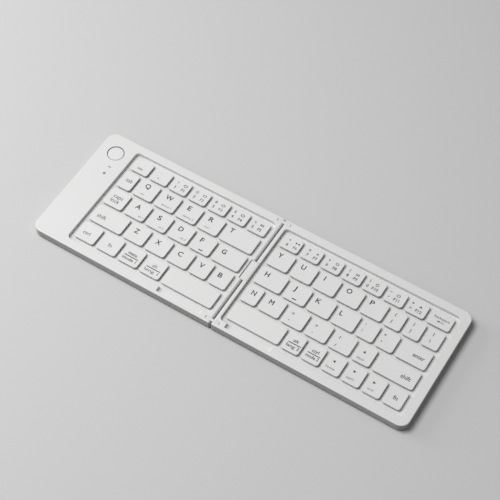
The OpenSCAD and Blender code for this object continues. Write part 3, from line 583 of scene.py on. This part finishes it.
def cap_shell(mesh, cx, cy, half_width, half_depth, dish):
    """A hollow keycap: soft foot, straight sides, rounded edge and dished top."""
    surface = cap_surface(half_width, half_depth, dish)
    loops = []

    def ring(inset, z):
        outline = rounded_rectangle(half_width - inset, half_depth - inset,
                                    CAP_CORNER - inset * CORNER_SHRINK, CORNER_STEPS)
        loops.append([(cx + x, cy + y, z) for x, y in outline])

    ring(CAP_WALL + INNER_ROUND, CAP_UNDERSIDE)
    ring(CAP_WALL + INNER_CORNER, CAP_UNDERSIDE - INNER_CORNER)
    ring(CAP_WALL, CAP_UNDERSIDE - INNER_ROUND)
    ring(CAP_WALL - INNER_DRAFT, CAP_BOTTOM)
    ring(CAP_FOOT, CAP_BOTTOM)
    ring(CAP_FOOT * FOOT_BEND, CAP_BOTTOM + CAP_FOOT * FOOT_BEND)
    ring(0, CAP_BOTTOM + CAP_FOOT)
    for step in range(EDGE_STEPS + 1):
        turn = math.radians(90 * step / EDGE_STEPS)
        ring(CAP_EDGE * (1 - math.cos(turn)), CAP_TOP - CAP_EDGE + CAP_EDGE * math.sin(turn))
    edge = loops[-1]
    for share in DISH_RINGS:
        loops.append([(cx + (x - cx) * share, cy + (y - cy) * share,
                       surface((x - cx) * share, (y - cy) * share)) for x, y, z in edge])
    loft(mesh, loops)


def cap_inside(mesh, cx, cy, half_width, half_depth):
    """Post over the dome and the two bars that hold the scissor links."""
    loft(mesh, [[(cx + x, cy + y, z) for x, y in circle(r, POST_STEPS)]
                for r, z in ((POST_RADIUS - POST_EDGE, CAP_UNDERSIDE - POST_REACH),
                             (POST_RADIUS, CAP_UNDERSIDE - POST_EDGE),
                             (POST_RADIUS, CAP_UNDERSIDE + ROOTED))])
    for side in (-1, 1):
        reach = half_depth - CAP_WALL - CLIP_FROM_WALL
        outline = rounded_rectangle(half_width - CAP_WALL - CLIP_FROM_SIDE, CLIP_HALF_THICKNESS,
                                    CLIP_CORNER, CLIP_STEPS)
        loft(mesh, [[(cx + x, cy + side * reach + y, z) for x, y in outline]
                    for z in (CAP_UNDERSIDE - CLIP_REACH, CAP_UNDERSIDE + ROOTED)])


# Printed marks: (text, x, y, size, ink, align) with x from the cap's left edge and y below its
# back edge, in millimetres, and y at the middle of the mark. The size is the height of a capital
# or drawing, or a pair of that height and the width of the whole word or drawing. Small shifts
# and sizes of single marks are in the two tables.

# Inks, numbered as the cap's material slots after its plastic
DARK, STRONG, MID, LIGHT = 1, 2, 3, 4

LETTER_HEIGHT = 3.6
WORD_HEIGHT = 3.05
NUMBER_HEIGHT = 2.25
SMALL_HEIGHT = 1.6
SIGN_HEIGHT = 2.0
AT_SIGN_HEIGHT = 1.7
ARROW_HEIGHT = 2.25
RULE_HEIGHT = 0.62
HOMING_HEIGHT = 0.78
HOMING_WIDTH = 3.4
# Heights of the words above and below the rule of a stacked mark, and how far the rule is shifted
STACKED_HEIGHTS = (2.5, 2.3)
RULE_SHIFT = 0.2

# Columns and drops on the caps, and the steps down to a second mark
LETTER_X = {"left": 4.52, "right": 3.25}
LETTER_DROP = {1: 4.15, 2: 5.0, 3: 5.5}
SIGN_X = 3.9
FUNCTION_X = 10.0
SIGN_DROP = 3.4
DIGIT_DROP = 7.65
RULE_STEP = 2.65
STACKED_STEP = 4.85
ARROW_WORD_STEP = 5.45

# Drawings made of one outline, and their inner outline as a share of the outer one
DRAWING_CORNERS = {"square": 4, "diamond": 4, "block": 6, "ring": 10}
DRAWING_INNER = 0.61

# How much wider than the font each letter stands, and how far the ink spreads past its outline
LETTER_STRETCH = {"S": 1.35, "E": 1.2, "R": 1.22, "F": 1.15, "B": 1.15, "P": 1.22, "K": 1.1,
                  "J": 1.3, "Y": 1.06, "V": 1.06, "X": 0.93, "M": 0.93, "N": 0.9, "U": 0.97}
STROKE_GAIN = {DARK: 0.115, STRONG: 0.07, MID: 0.03, LIGHT: 0.03}
LETTER_STEPS = 3
# Corners whose mitre is blunter than this stay, and others reach out by no more than the limit
BLUNT_CORNER = 0.2
MITRE_LIMIT = 1.6


def letter(side, row, text, nudge=0.0, *more):
    """A letter in the column of its half and at the height of its row, with more marks."""
    return [(text, LETTER_X[side] + nudge, LETTER_DROP[row], LETTER_HEIGHT, DARK, "LEFT"), *more]


def word(text, x, y, align="LEFT", size=WORD_HEIGHT, ink=MID):
    """A word or sign by itself."""
    return [(text, x, y, size, ink, align)]


def small(text, x, y, width, height=SMALL_HEIGHT):
    """The faint word under a letter."""
    return (text, x, y, (height, width), LIGHT, "LEFT")


def number(sign, digit, function, drawing, nudge=0.0, inks=(MID, STRONG, STRONG, MID), aside=0.0,
           drop=3.7, size=(2.5, 3.2)):
    """A sign over a digit and a plain drawing over a function number, each with its own ink."""
    left, right = SIGN_X + nudge, FUNCTION_X + nudge + aside
    sign_height = AT_SIGN_HEIGHT if sign == "@" else SIGN_HEIGHT
    return [(sign, left, SIGN_DROP, sign_height, inks[0], "CENTER"),
            (digit, left, DIGIT_DROP, NUMBER_HEIGHT, inks[1], "CENTER"),
            (function, right, DIGIT_DROP, NUMBER_HEIGHT, inks[2], "CENTER"),
            (drawing, right, drop, size, inks[3], "SKETCH")]


def pair(high, low, x, y_high, y_low, ink=STRONG, size=2.1):
    """A sign above another."""
    return [(high, x, y_high, size, ink, "CENTER"), (low, x, y_low, size, ink, "CENTER")]


def stacked(top, top_width, bottom, x, drop, width, ink=STRONG):
    """A word, a rule under it and a second small word, centred on the same place."""
    return [(top, x, drop, (STACKED_HEIGHTS[0], top_width), ink, "CENTER"),
            ("rule", x + RULE_SHIFT, drop + RULE_STEP, width, DARK, "SKETCH"),
            (bottom, x, drop + STACKED_STEP, (STACKED_HEIGHTS[1], width - RULE_SHIFT), ink,
             "CENTER")]


def arrow(direction, text, width, x, y, ink=LIGHT):
    """An arrowhead over a small word of that width."""
    return [(direction, x, y, ARROW_HEIGHT, DARK, "SKETCH"),
            (text, x, y + ARROW_WORD_STEP, (SMALL_HEIGHT, width), ink, "CENTER")]


def homing(x, drop=12.4):
    """The bar that marks a home key."""
    return ("bar", x, drop, HOMING_WIDTH, DARK, "SKETCH")


# Marks of each half, row by row from the back and from left to right
LEFT_MARKS = [
    [word("esc", 6.6, 7.5, "CENTER", 2.2),
     word("~", 5.6, 3.4, "CENTER", 1.3, LIGHT) + word("`", 5.65, 7.9, "CENTER", 3.8, DARK),
     number("!", "1", "F1", "ring", 0.0, (STRONG, DARK, STRONG, MID), 0.1),
     number("@", "2", "F2", "square", -0.2, (LIGHT, STRONG, MID, MID), 0.2, size=(2.6, 3.8)),
     number("#", "3", "F3", "diamond", -0.55, (STRONG, STRONG, MID, MID), -0.3, size=(2.7, 3.9)),
     number("$", "4", "F4", "ring", -1.0),
     number("%", "5", "F5", "bars", -0.7, (LIGHT, STRONG, STRONG, MID), -0.75)],
    [word("tab", 6.1, 6.6, "CENTER", (WORD_HEIGHT, 5.2)),
     letter("left", 1, "Q", 0.6, small("dim", 5.65, 11.4, 3.0, 1.05)),
     letter("left", 1, "W", 0.05, small("device 1", 5.2, 11.35, 7.7)),
     letter("left", 1, "E", 0.35, small("device 2", 5.1, 11.35, 8.4)),
     letter("left", 1, "R", -0.15, small("pair", 4.8, 11.15, 3.9, 1.05)),
     letter("left", 1, "T", -1.0)],
    [word("caps", 7.8, 5.5, "CENTER") + word("lock", 7.4, 9.5, "CENTER", (WORD_HEIGHT, 6.9)),
     letter("left", 2, "A", 0.4, small("ch 1", 10.75, 11.55, 3.7)),
     letter("left", 2, "S", 0.6, small("ch 2", 9.8, 11.55, 3.8)),
     letter("left", 2, "D", 0.0, small("ch 3", 9.5, 11.25, 4.1)),
     letter("left", 2, "F", -0.1, homing(8.8, 12.55)),
     letter("left", 2, "G", -0.7)],
    [word("shift", 3.85, 8.5, "LEFT", (WORD_HEIGHT, 6.9)),
     letter("left", 3, "Z", 0.15), letter("left", 3, "X", -0.15), letter("left", 3, "C"),
     letter("left", 3, "V", -0.6), letter("left", 3, "B", -0.9)],
    [word("ctrl", 3.7, 8.1, "LEFT", (2.9, 5.4)),
     word("fn", 8.2, 8.1, "CENTER", 2.9),
     stacked("menu", 6.8, "mode 1", 7.85, 5.75, 10.9),
     stacked("alt", 3.4, "lang 1", 8.1, 5.9, 10.8, MID),
     []],
]

RIGHT_MARKS = [
    [number("^", "6", "F6", "arrows", 0.75, (STRONG, STRONG, MID, DARK), 0.1, 3.75, (2.6, 3.1)),
     number("&", "7", "F7", "triangle", 0.4, (MID, STRONG, STRONG, LIGHT), 0.1, size=(2.4, 3.0)),
     number("*", "8", "F8", "square", -0.4, (STRONG, MID, STRONG, STRONG), 0.0, 3.7, (2.7, 3.1)),
     number("(", "9", "F9", "bars", -0.65, (STRONG, DARK, STRONG, MID), 0.0, 4.0, (2.4, 2.7)),
     number(")", "0", "F10", "ring", -1.35, (STRONG, STRONG, STRONG, MID), -0.35, 3.95,
            (2.7, 2.6)),
     number("_", "-", "F11", "block", -1.4, (DARK, DARK, STRONG, MID), -0.35, 3.95),
     number("+", "=", "F12", "triangle", -1.1, (DARK, STRONG, STRONG, MID), -0.15, 3.65,
            (2.5, 2.9)),
     [*word("backspace", 8.8, 4.3, "CENTER", 1.9), ("left", 7.2, 7.35, (1.7, 2.6), MID, "SKETCH"),
      *word("del", 10.0, 7.1, "CENTER", (1.3, 2.6), LIGHT)]],
    [letter("right", 1, "Y", 0.75), letter("right", 1, "U", 1.0), letter("right", 1, "I", 0.85),
     letter("right", 1, "O"), letter("right", 1, "P"),
     pair("{", "[", 4.2, 3.9, 9.8), pair("}", "]", 4.05, 3.9, 9.8),
     pair("|", "\\", 4.65, 4.0, 9.6, DARK)],
    [letter("right", 2, "H", 1.2), letter("right", 2, "J", 0.95, homing(8.35)),
     letter("right", 2, "K", -0.45), letter("right", 2, "L", -0.85),
     pair(":", ";", 2.7, 3.9, 9.0, STRONG, 2.5), pair('"', "'", 2.7, 4.1, 9.7, DARK, 2.6),
     word("enter", 18.55, 7.25, "RIGHT", (3.0, 8.3), STRONG)],
    [letter("right", 3, "N", 1.3), letter("right", 3, "M", 1.3),
     pair("<", ",", 4.7, 5.2, 10.9, DARK), pair(">", ".", 4.75, 5.1, 11.1, DARK),
     pair("?", "/", 4.4, 4.75, 11.3, DARK, 2.0),
     arrow("up", "pgup", 5.2, 5.6, 5.7),
     word("shift", 25.6, 8.2, "RIGHT", (3.05, 7.0), STRONG)],
    [[],
     stacked("alt", 3.8, "lang 2", 7.1, 5.45, 9.6),
     stacked("ctrl", 4.8, "mode 2", 6.7, 5.5, 9.5),
     arrow("left", "home", 6.3, 5.4, 5.3, MID),
     arrow("down", "pgdn", 5.4, 5.2, 5.15),
     arrow("right", "end", 4.1, 4.95, 5.3),
     word("fn", 6.6, 7.6, "CENTER", WORD_HEIGHT, STRONG)],
]


def box_mark(width, height, cx=0.0):
    """Corners of a plain bar about its middle."""
    w, h = width / 2, height / 2
    return [(cx - w, -h), (cx + w, -h), (cx + w, h), (cx - w, h)]


def sketch(kind, size):
    """Outlines of a plain drawn mark about its own middle, all convex."""
    if isinstance(size, tuple):
        height, width = size
        return [[(x * width / height, y) for x, y in outline] for outline in sketch(kind, height)]
    s = size / 2
    turned = {"up": 90, "left": 180, "down": 270, "right": 0}
    if kind in turned:
        turn = math.radians(turned[kind])
        corners = ((s * 0.95, 0), (-s * 0.75, s), (-s * 0.75, -s))
        return [[(x * math.cos(turn) - y * math.sin(turn), x * math.sin(turn) + y * math.cos(turn))
                 for x, y in corners]]
    if kind == "rule":
        return [box_mark(size, RULE_HEIGHT)]
    if kind == "bar":
        return [box_mark(size, HOMING_HEIGHT)]
    if kind == "bars":
        return [box_mark(size * 0.2, size * 0.8, size * k * 0.34) for k in (-1, 0, 1)]
    if kind == "triangle":
        return [[(-s * 0.85, -s * 0.7), (s * 0.85, -s * 0.7), (0, s * 0.75)]]
    if kind == "arrows":
        return [[(-s, s * 0.7), (0, 0), (-s, -s * 0.7)], [(s, s * 0.7), (s, -s * 0.7), (0, 0)]]
    corners = DRAWING_CORNERS[kind]
    start = math.pi / 4 if kind == "square" else 0.0
    outer = [(s * math.cos(start + 2 * math.pi * k / corners),
              s * math.sin(start + 2 * math.pi * k / corners)) for k in range(corners)]
    inner = [(x * DRAWING_INNER, y * DRAWING_INNER) for x, y in outer]
    return [[outer[k], outer[(k + 1) % corners], inner[(k + 1) % corners], inner[k]]
            for k in range(corners)]


LETTERING = {}


def lettering(text):
    """Flat mesh of a text in the font's own units: its points and its faces."""
    if text not in LETTERING:
        curve = bpy.data.curves.new("lettering", "FONT")
        curve.body = text
        curve.size = 1.0
        curve.resolution_u = LETTER_STEPS
        curve.fill_mode = "FRONT"
        holder = bpy.data.objects.new("lettering", curve)
        flat = bpy.data.meshes.new_from_object(holder)
        points = [(v.co.x, v.co.y) for v in flat.vertices]
        faces = [tuple(p.vertices) for p in flat.polygons]
        bpy.data.objects.remove(holder)
        bpy.data.curves.remove(curve)
        bpy.data.meshes.remove(flat)
        LETTERING[text] = points, faces
    return LETTERING[text]


def capital_height():
    """Height of a capital in the font's own units."""
    points, _ = lettering("H")
    return max(y for x, y in points) - min(y for x, y in points)


CAPITAL = capital_height()


def thicken(points, faces, gain):
    """Moves the outline of a flat mesh outward along its mitred corners."""
    sides = {(a, b) for face in faces for a, b in zip(face, face[1:] + face[:1])}
    outward = {}
    for a, b in sides:
        if (b, a) in sides:
            continue
        dx, dy = points[b][0] - points[a][0], points[b][1] - points[a][1]
        length = math.hypot(dx, dy) or 1.0
        for corner in (a, b):
            outward.setdefault(corner, []).append((dy / length, -dx / length))
    moved = list(points)
    for corner, normals in outward.items():
        x, y = sum(n[0] for n in normals), sum(n[1] for n in normals)
        length = math.hypot(x, y)
        if length < BLUNT_CORNER:
            continue
        reach = min(gain * len(normals) / length, MITRE_LIMIT * gain)
        moved[corner] = (points[corner][0] + x / length * reach,
                         points[corner][1] + y / length * reach)
    return moved


def print_faces(mesh, points, faces, surface, cx, cy, ink):
    """Prints a flat outline on the cap: a thin closed film that follows the dished top."""
    above = [mesh.verts.new((cx + x, cy + y, surface(x, y) + INK_ABOVE)) for x, y in points]
    below = [mesh.verts.new((cx + x, cy + y, surface(x, y) - INK_BELOW)) for x, y in points]
    made = []
    for face in faces:
        made.append(mesh.faces.new([above[k] for k in face]))
        made.append(mesh.faces.new([below[k] for k in reversed(face)]))
    edges = dict.fromkeys((a, b) for face in faces for a, b in zip(face, face[1:] + face[:1]))
    for a, b in edges:
        if (b, a) not in edges:
            made.append(mesh.faces.new((above[b], above[a], below[a], below[b])))
    for face in made:
        face.material_index = ink


def print_mark(mesh, mark, cx, cy, half_width, half_depth, surface):
    """Prints one mark of the tables on a cap."""
    text, x, y, size, ink, align = mark
    middle = (x - half_width, half_depth - y)
    if align == "SKETCH":
        for outline in sketch(text, size):
            points = [(middle[0] + a, middle[1] + b) for a, b in outline]
            print_faces(mesh, points, [tuple(range(len(points)))], surface, cx, cy, ink)
        return
    flat, faces = lettering(text)
    height, width = size if isinstance(size, tuple) else (size, None)
    left, right = min(p[0] for p in flat), max(p[0] for p in flat)
    tall = height / CAPITAL
    wide = width / (right - left) if width else tall * LETTER_STRETCH.get(text, 1.0)
    low, high = min(p[1] for p in flat), max(p[1] for p in flat)
    if len(text) > 1:
        low, high = 0.0, CAPITAL
    shift = {"LEFT": left, "CENTER": (left + right) / 2, "RIGHT": right}[align]
    points = [(middle[0] + (a - shift) * wide, middle[1] + (b - (low + high) / 2) * tall)
              for a, b in flat]
    print_faces(mesh, thicken(points, faces, STROKE_GAIN[ink]), faces, surface, cx, cy, ink)


def half_rows(nodes):
    """Caps of one half as rows from back to front, each from left to right: (node, low, high)."""
    caps = sorted(((node, low, high) for node in nodes for low, high in islands(node)),
                  key=lambda cap: -cap[1].y)
    rows = []
    for cap in caps:
        if rows and abs(rows[-1][0][1].y - cap[1].y) < ROW_GAP:
            rows[-1].append(cap)
        else:
            rows.append([cap])
    return [sorted(row, key=lambda cap: cap[1].x) for row in rows]


def keycaps(nodes, marks):
    """One piece for every key node of a half: its caps with their printed marks."""
    meshes = {node: bmesh.new() for node in nodes}
    for row, row_marks in zip(half_rows(nodes), marks):
        for (node, low, high), cap_marks in zip(row, row_marks):
            half_width, half_depth = (high.x - low.x) / 2, (high.y - low.y) / 2
            cx, cy = (high.x + low.x) / 2, (high.y + low.y) / 2
            dish = SPACE_BAR_DISH if 2 * half_width > WIDE_CAP else CAP_DISH
            surface = cap_surface(half_width, half_depth, dish)
            cap_shell(meshes[node], cx, cy, half_width, half_depth, dish)
            cap_inside(meshes[node], cx, cy, half_width, half_depth)
            for mark in cap_marks:
                print_mark(meshes[node], mark, cx, cy, half_width, half_depth, surface)
    for node, mesh in meshes.items():
        piece("cap_" + node.removeprefix("key_"), mesh, [FINISH["keycap_white"], *INKS], node,
              [node])


def key_nodes(half):
    """Key nodes whose caps lie on that side of the hinge."""
    return [name for name in frame["nodes"]
            if (name.startswith("key_") or name.endswith("_keys") or name.endswith("_space_bar"))
            and (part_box(name)[0].x > 0) == (half == "right")]


# Power button

def power_button():
    """Turned button: crowned face with a soft edge, retaining flange and stem."""
    low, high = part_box("power_button")
    cx, cy = (low.x + high.x) / 2 / MM, (low.y + high.y) / 2 / MM
    stem_bottom, top = low.z / MM, high.z / MM
    flange = (high.x - low.x) / 2 / MM
    flange_bottom = FLANGE_TOP - FLANGE_THICKNESS
    profile = [(STEM_RADIUS - STEM_EDGE, stem_bottom), (STEM_RADIUS, stem_bottom + STEM_EDGE),
               (STEM_RADIUS, flange_bottom), (flange - FLANGE_EDGE, flange_bottom),
               (flange, flange_bottom + FLANGE_EDGE), (flange, FLANGE_TOP - FLANGE_EDGE),
               (flange - FLANGE_EDGE, FLANGE_TOP), (BUTTON_RADIUS, FLANGE_TOP)]
    for step in range(BUTTON_EDGE_STEPS + 1):
        turn = math.radians(90 * step / BUTTON_EDGE_STEPS)
        profile.append((BUTTON_RADIUS - BUTTON_EDGE + BUTTON_EDGE * math.cos(turn),
                        top - BUTTON_CROWN - BUTTON_EDGE + BUTTON_EDGE * math.sin(turn)))
    for share in CROWN_RINGS:
        radius = (BUTTON_RADIUS - BUTTON_EDGE) * share
        profile.append((radius, top - BUTTON_CROWN * share ** 2))
    mesh = bmesh.new()
    loft(mesh, [[(cx + x, cy + y, z) for x, y in circle(r, BUTTON_STEPS)] for r, z in profile])
    piece("button_cap", mesh, [BUTTON_FINISH], "power_button", ["power_button"])


def dress_frame():
    """Gives every CAD node the finish of its slot."""
    for part in frame["record"]["subparts"]:
        node = frame["nodes"][part["node"]]
        for holder in node.material_slots:
            holder.material = FINISH[part["material_slot"]]


# Stage, light and camera

def seen_directly(tree):
    """One where the ray comes from the camera, a reflection or a clear material."""
    path = add(tree, "ShaderNodeLightPath")
    first = add(tree, "ShaderNodeMath", operation="MAXIMUM")
    wire(tree, path.outputs["Is Camera Ray"], first.inputs[0])
    wire(tree, path.outputs["Is Glossy Ray"], first.inputs[1])
    either = add(tree, "ShaderNodeMath", operation="MAXIMUM")
    wire(tree, first.outputs[0], either.inputs[0])
    wire(tree, path.outputs["Is Transmission Ray"], either.inputs[1])
    return either.outputs[0]


def studio_floor():
    """Pale paper floor, which throws little light back on the object."""
    mesh = bmesh.new()
    bmesh.ops.create_grid(mesh, x_segments=4, y_segments=4, size=FLOOR_REACH)
    data = bpy.data.meshes.new("studio_floor")
    mesh.to_mesh(data)
    mesh.free()
    floor = bpy.data.objects.new("studio_floor", data)
    bpy.context.scene.collection.objects.link(floor)
    material, tree, shader = finish("floor_paper", Roughness=0.9, Specular_IOR_Level=0.1)
    two_tone(tree, shader, seen_directly(tree), FLOOR_BOUNCE, FLOOR_PALE)
    data.materials.append(material)


def studio_world():
    """Even soft light from all round, with a pale backdrop where it is seen directly."""
    world = bpy.data.worlds.new("studio_world")
    world.use_nodes = True
    tree = world.node_tree
    background = tree.nodes["Background"]
    strength = add(tree, "ShaderNodeMix", data_type="FLOAT")
    strength.inputs["A"].default_value = AMBIENT
    strength.inputs["B"].default_value = BACKDROP_TONE
    background.inputs["Color"].default_value = (1, 1, 1, 1)
    wire(tree, seen_directly(tree), strength.inputs["Factor"])
    wire(tree, strength.outputs["Result"], background.inputs["Strength"])
    bpy.context.scene.world = world


def softbox(name, position, side, power):
    """Square area lamp aimed at the frame's origin."""
    lamp = bpy.data.lights.new(name, "AREA")
    lamp.shape = "RECTANGLE"
    lamp.size, lamp.size_y = side, side
    lamp.energy = power
    holder = bpy.data.objects.new(name, lamp)
    holder.location = position
    holder.rotation_mode = "QUATERNION"
    holder.rotation_quaternion = (-Vector(position)).to_track_quat("-Z", "Y")
    bpy.context.scene.collection.objects.link(holder)


def studio_camera():
    """The photograph's own viewpoint."""
    lens = bpy.data.cameras.new("studio_camera")
    lens.lens = CAMERA_LENS
    lens.sensor_width = CAMERA_SENSOR
    lens.clip_start, lens.clip_end = CAMERA_CLIP
    holder = bpy.data.objects.new("studio_camera", lens)
    holder.location = CAMERA_PLACE
    holder.rotation_mode = "QUATERNION"
    aim = (Vector(CAMERA_TARGET) - Vector(CAMERA_PLACE)).to_track_quat("-Z", "Y")
    holder.rotation_quaternion = aim @ Quaternion((0, 0, 1), math.radians(CAMERA_ROLL))
    bpy.context.scene.collection.objects.link(holder)
    bpy.context.scene.camera = holder


dress_frame()
keycaps(key_nodes("left"), LEFT_MARKS)
keycaps(key_nodes("right"), RIGHT_MARKS)
power_button()
studio_floor()
studio_world()
for lamp, settings in SOFTBOXES.items():
    softbox(lamp, *settings)
studio_camera()
bpy.context.scene.view_settings.view_transform = "Standard"
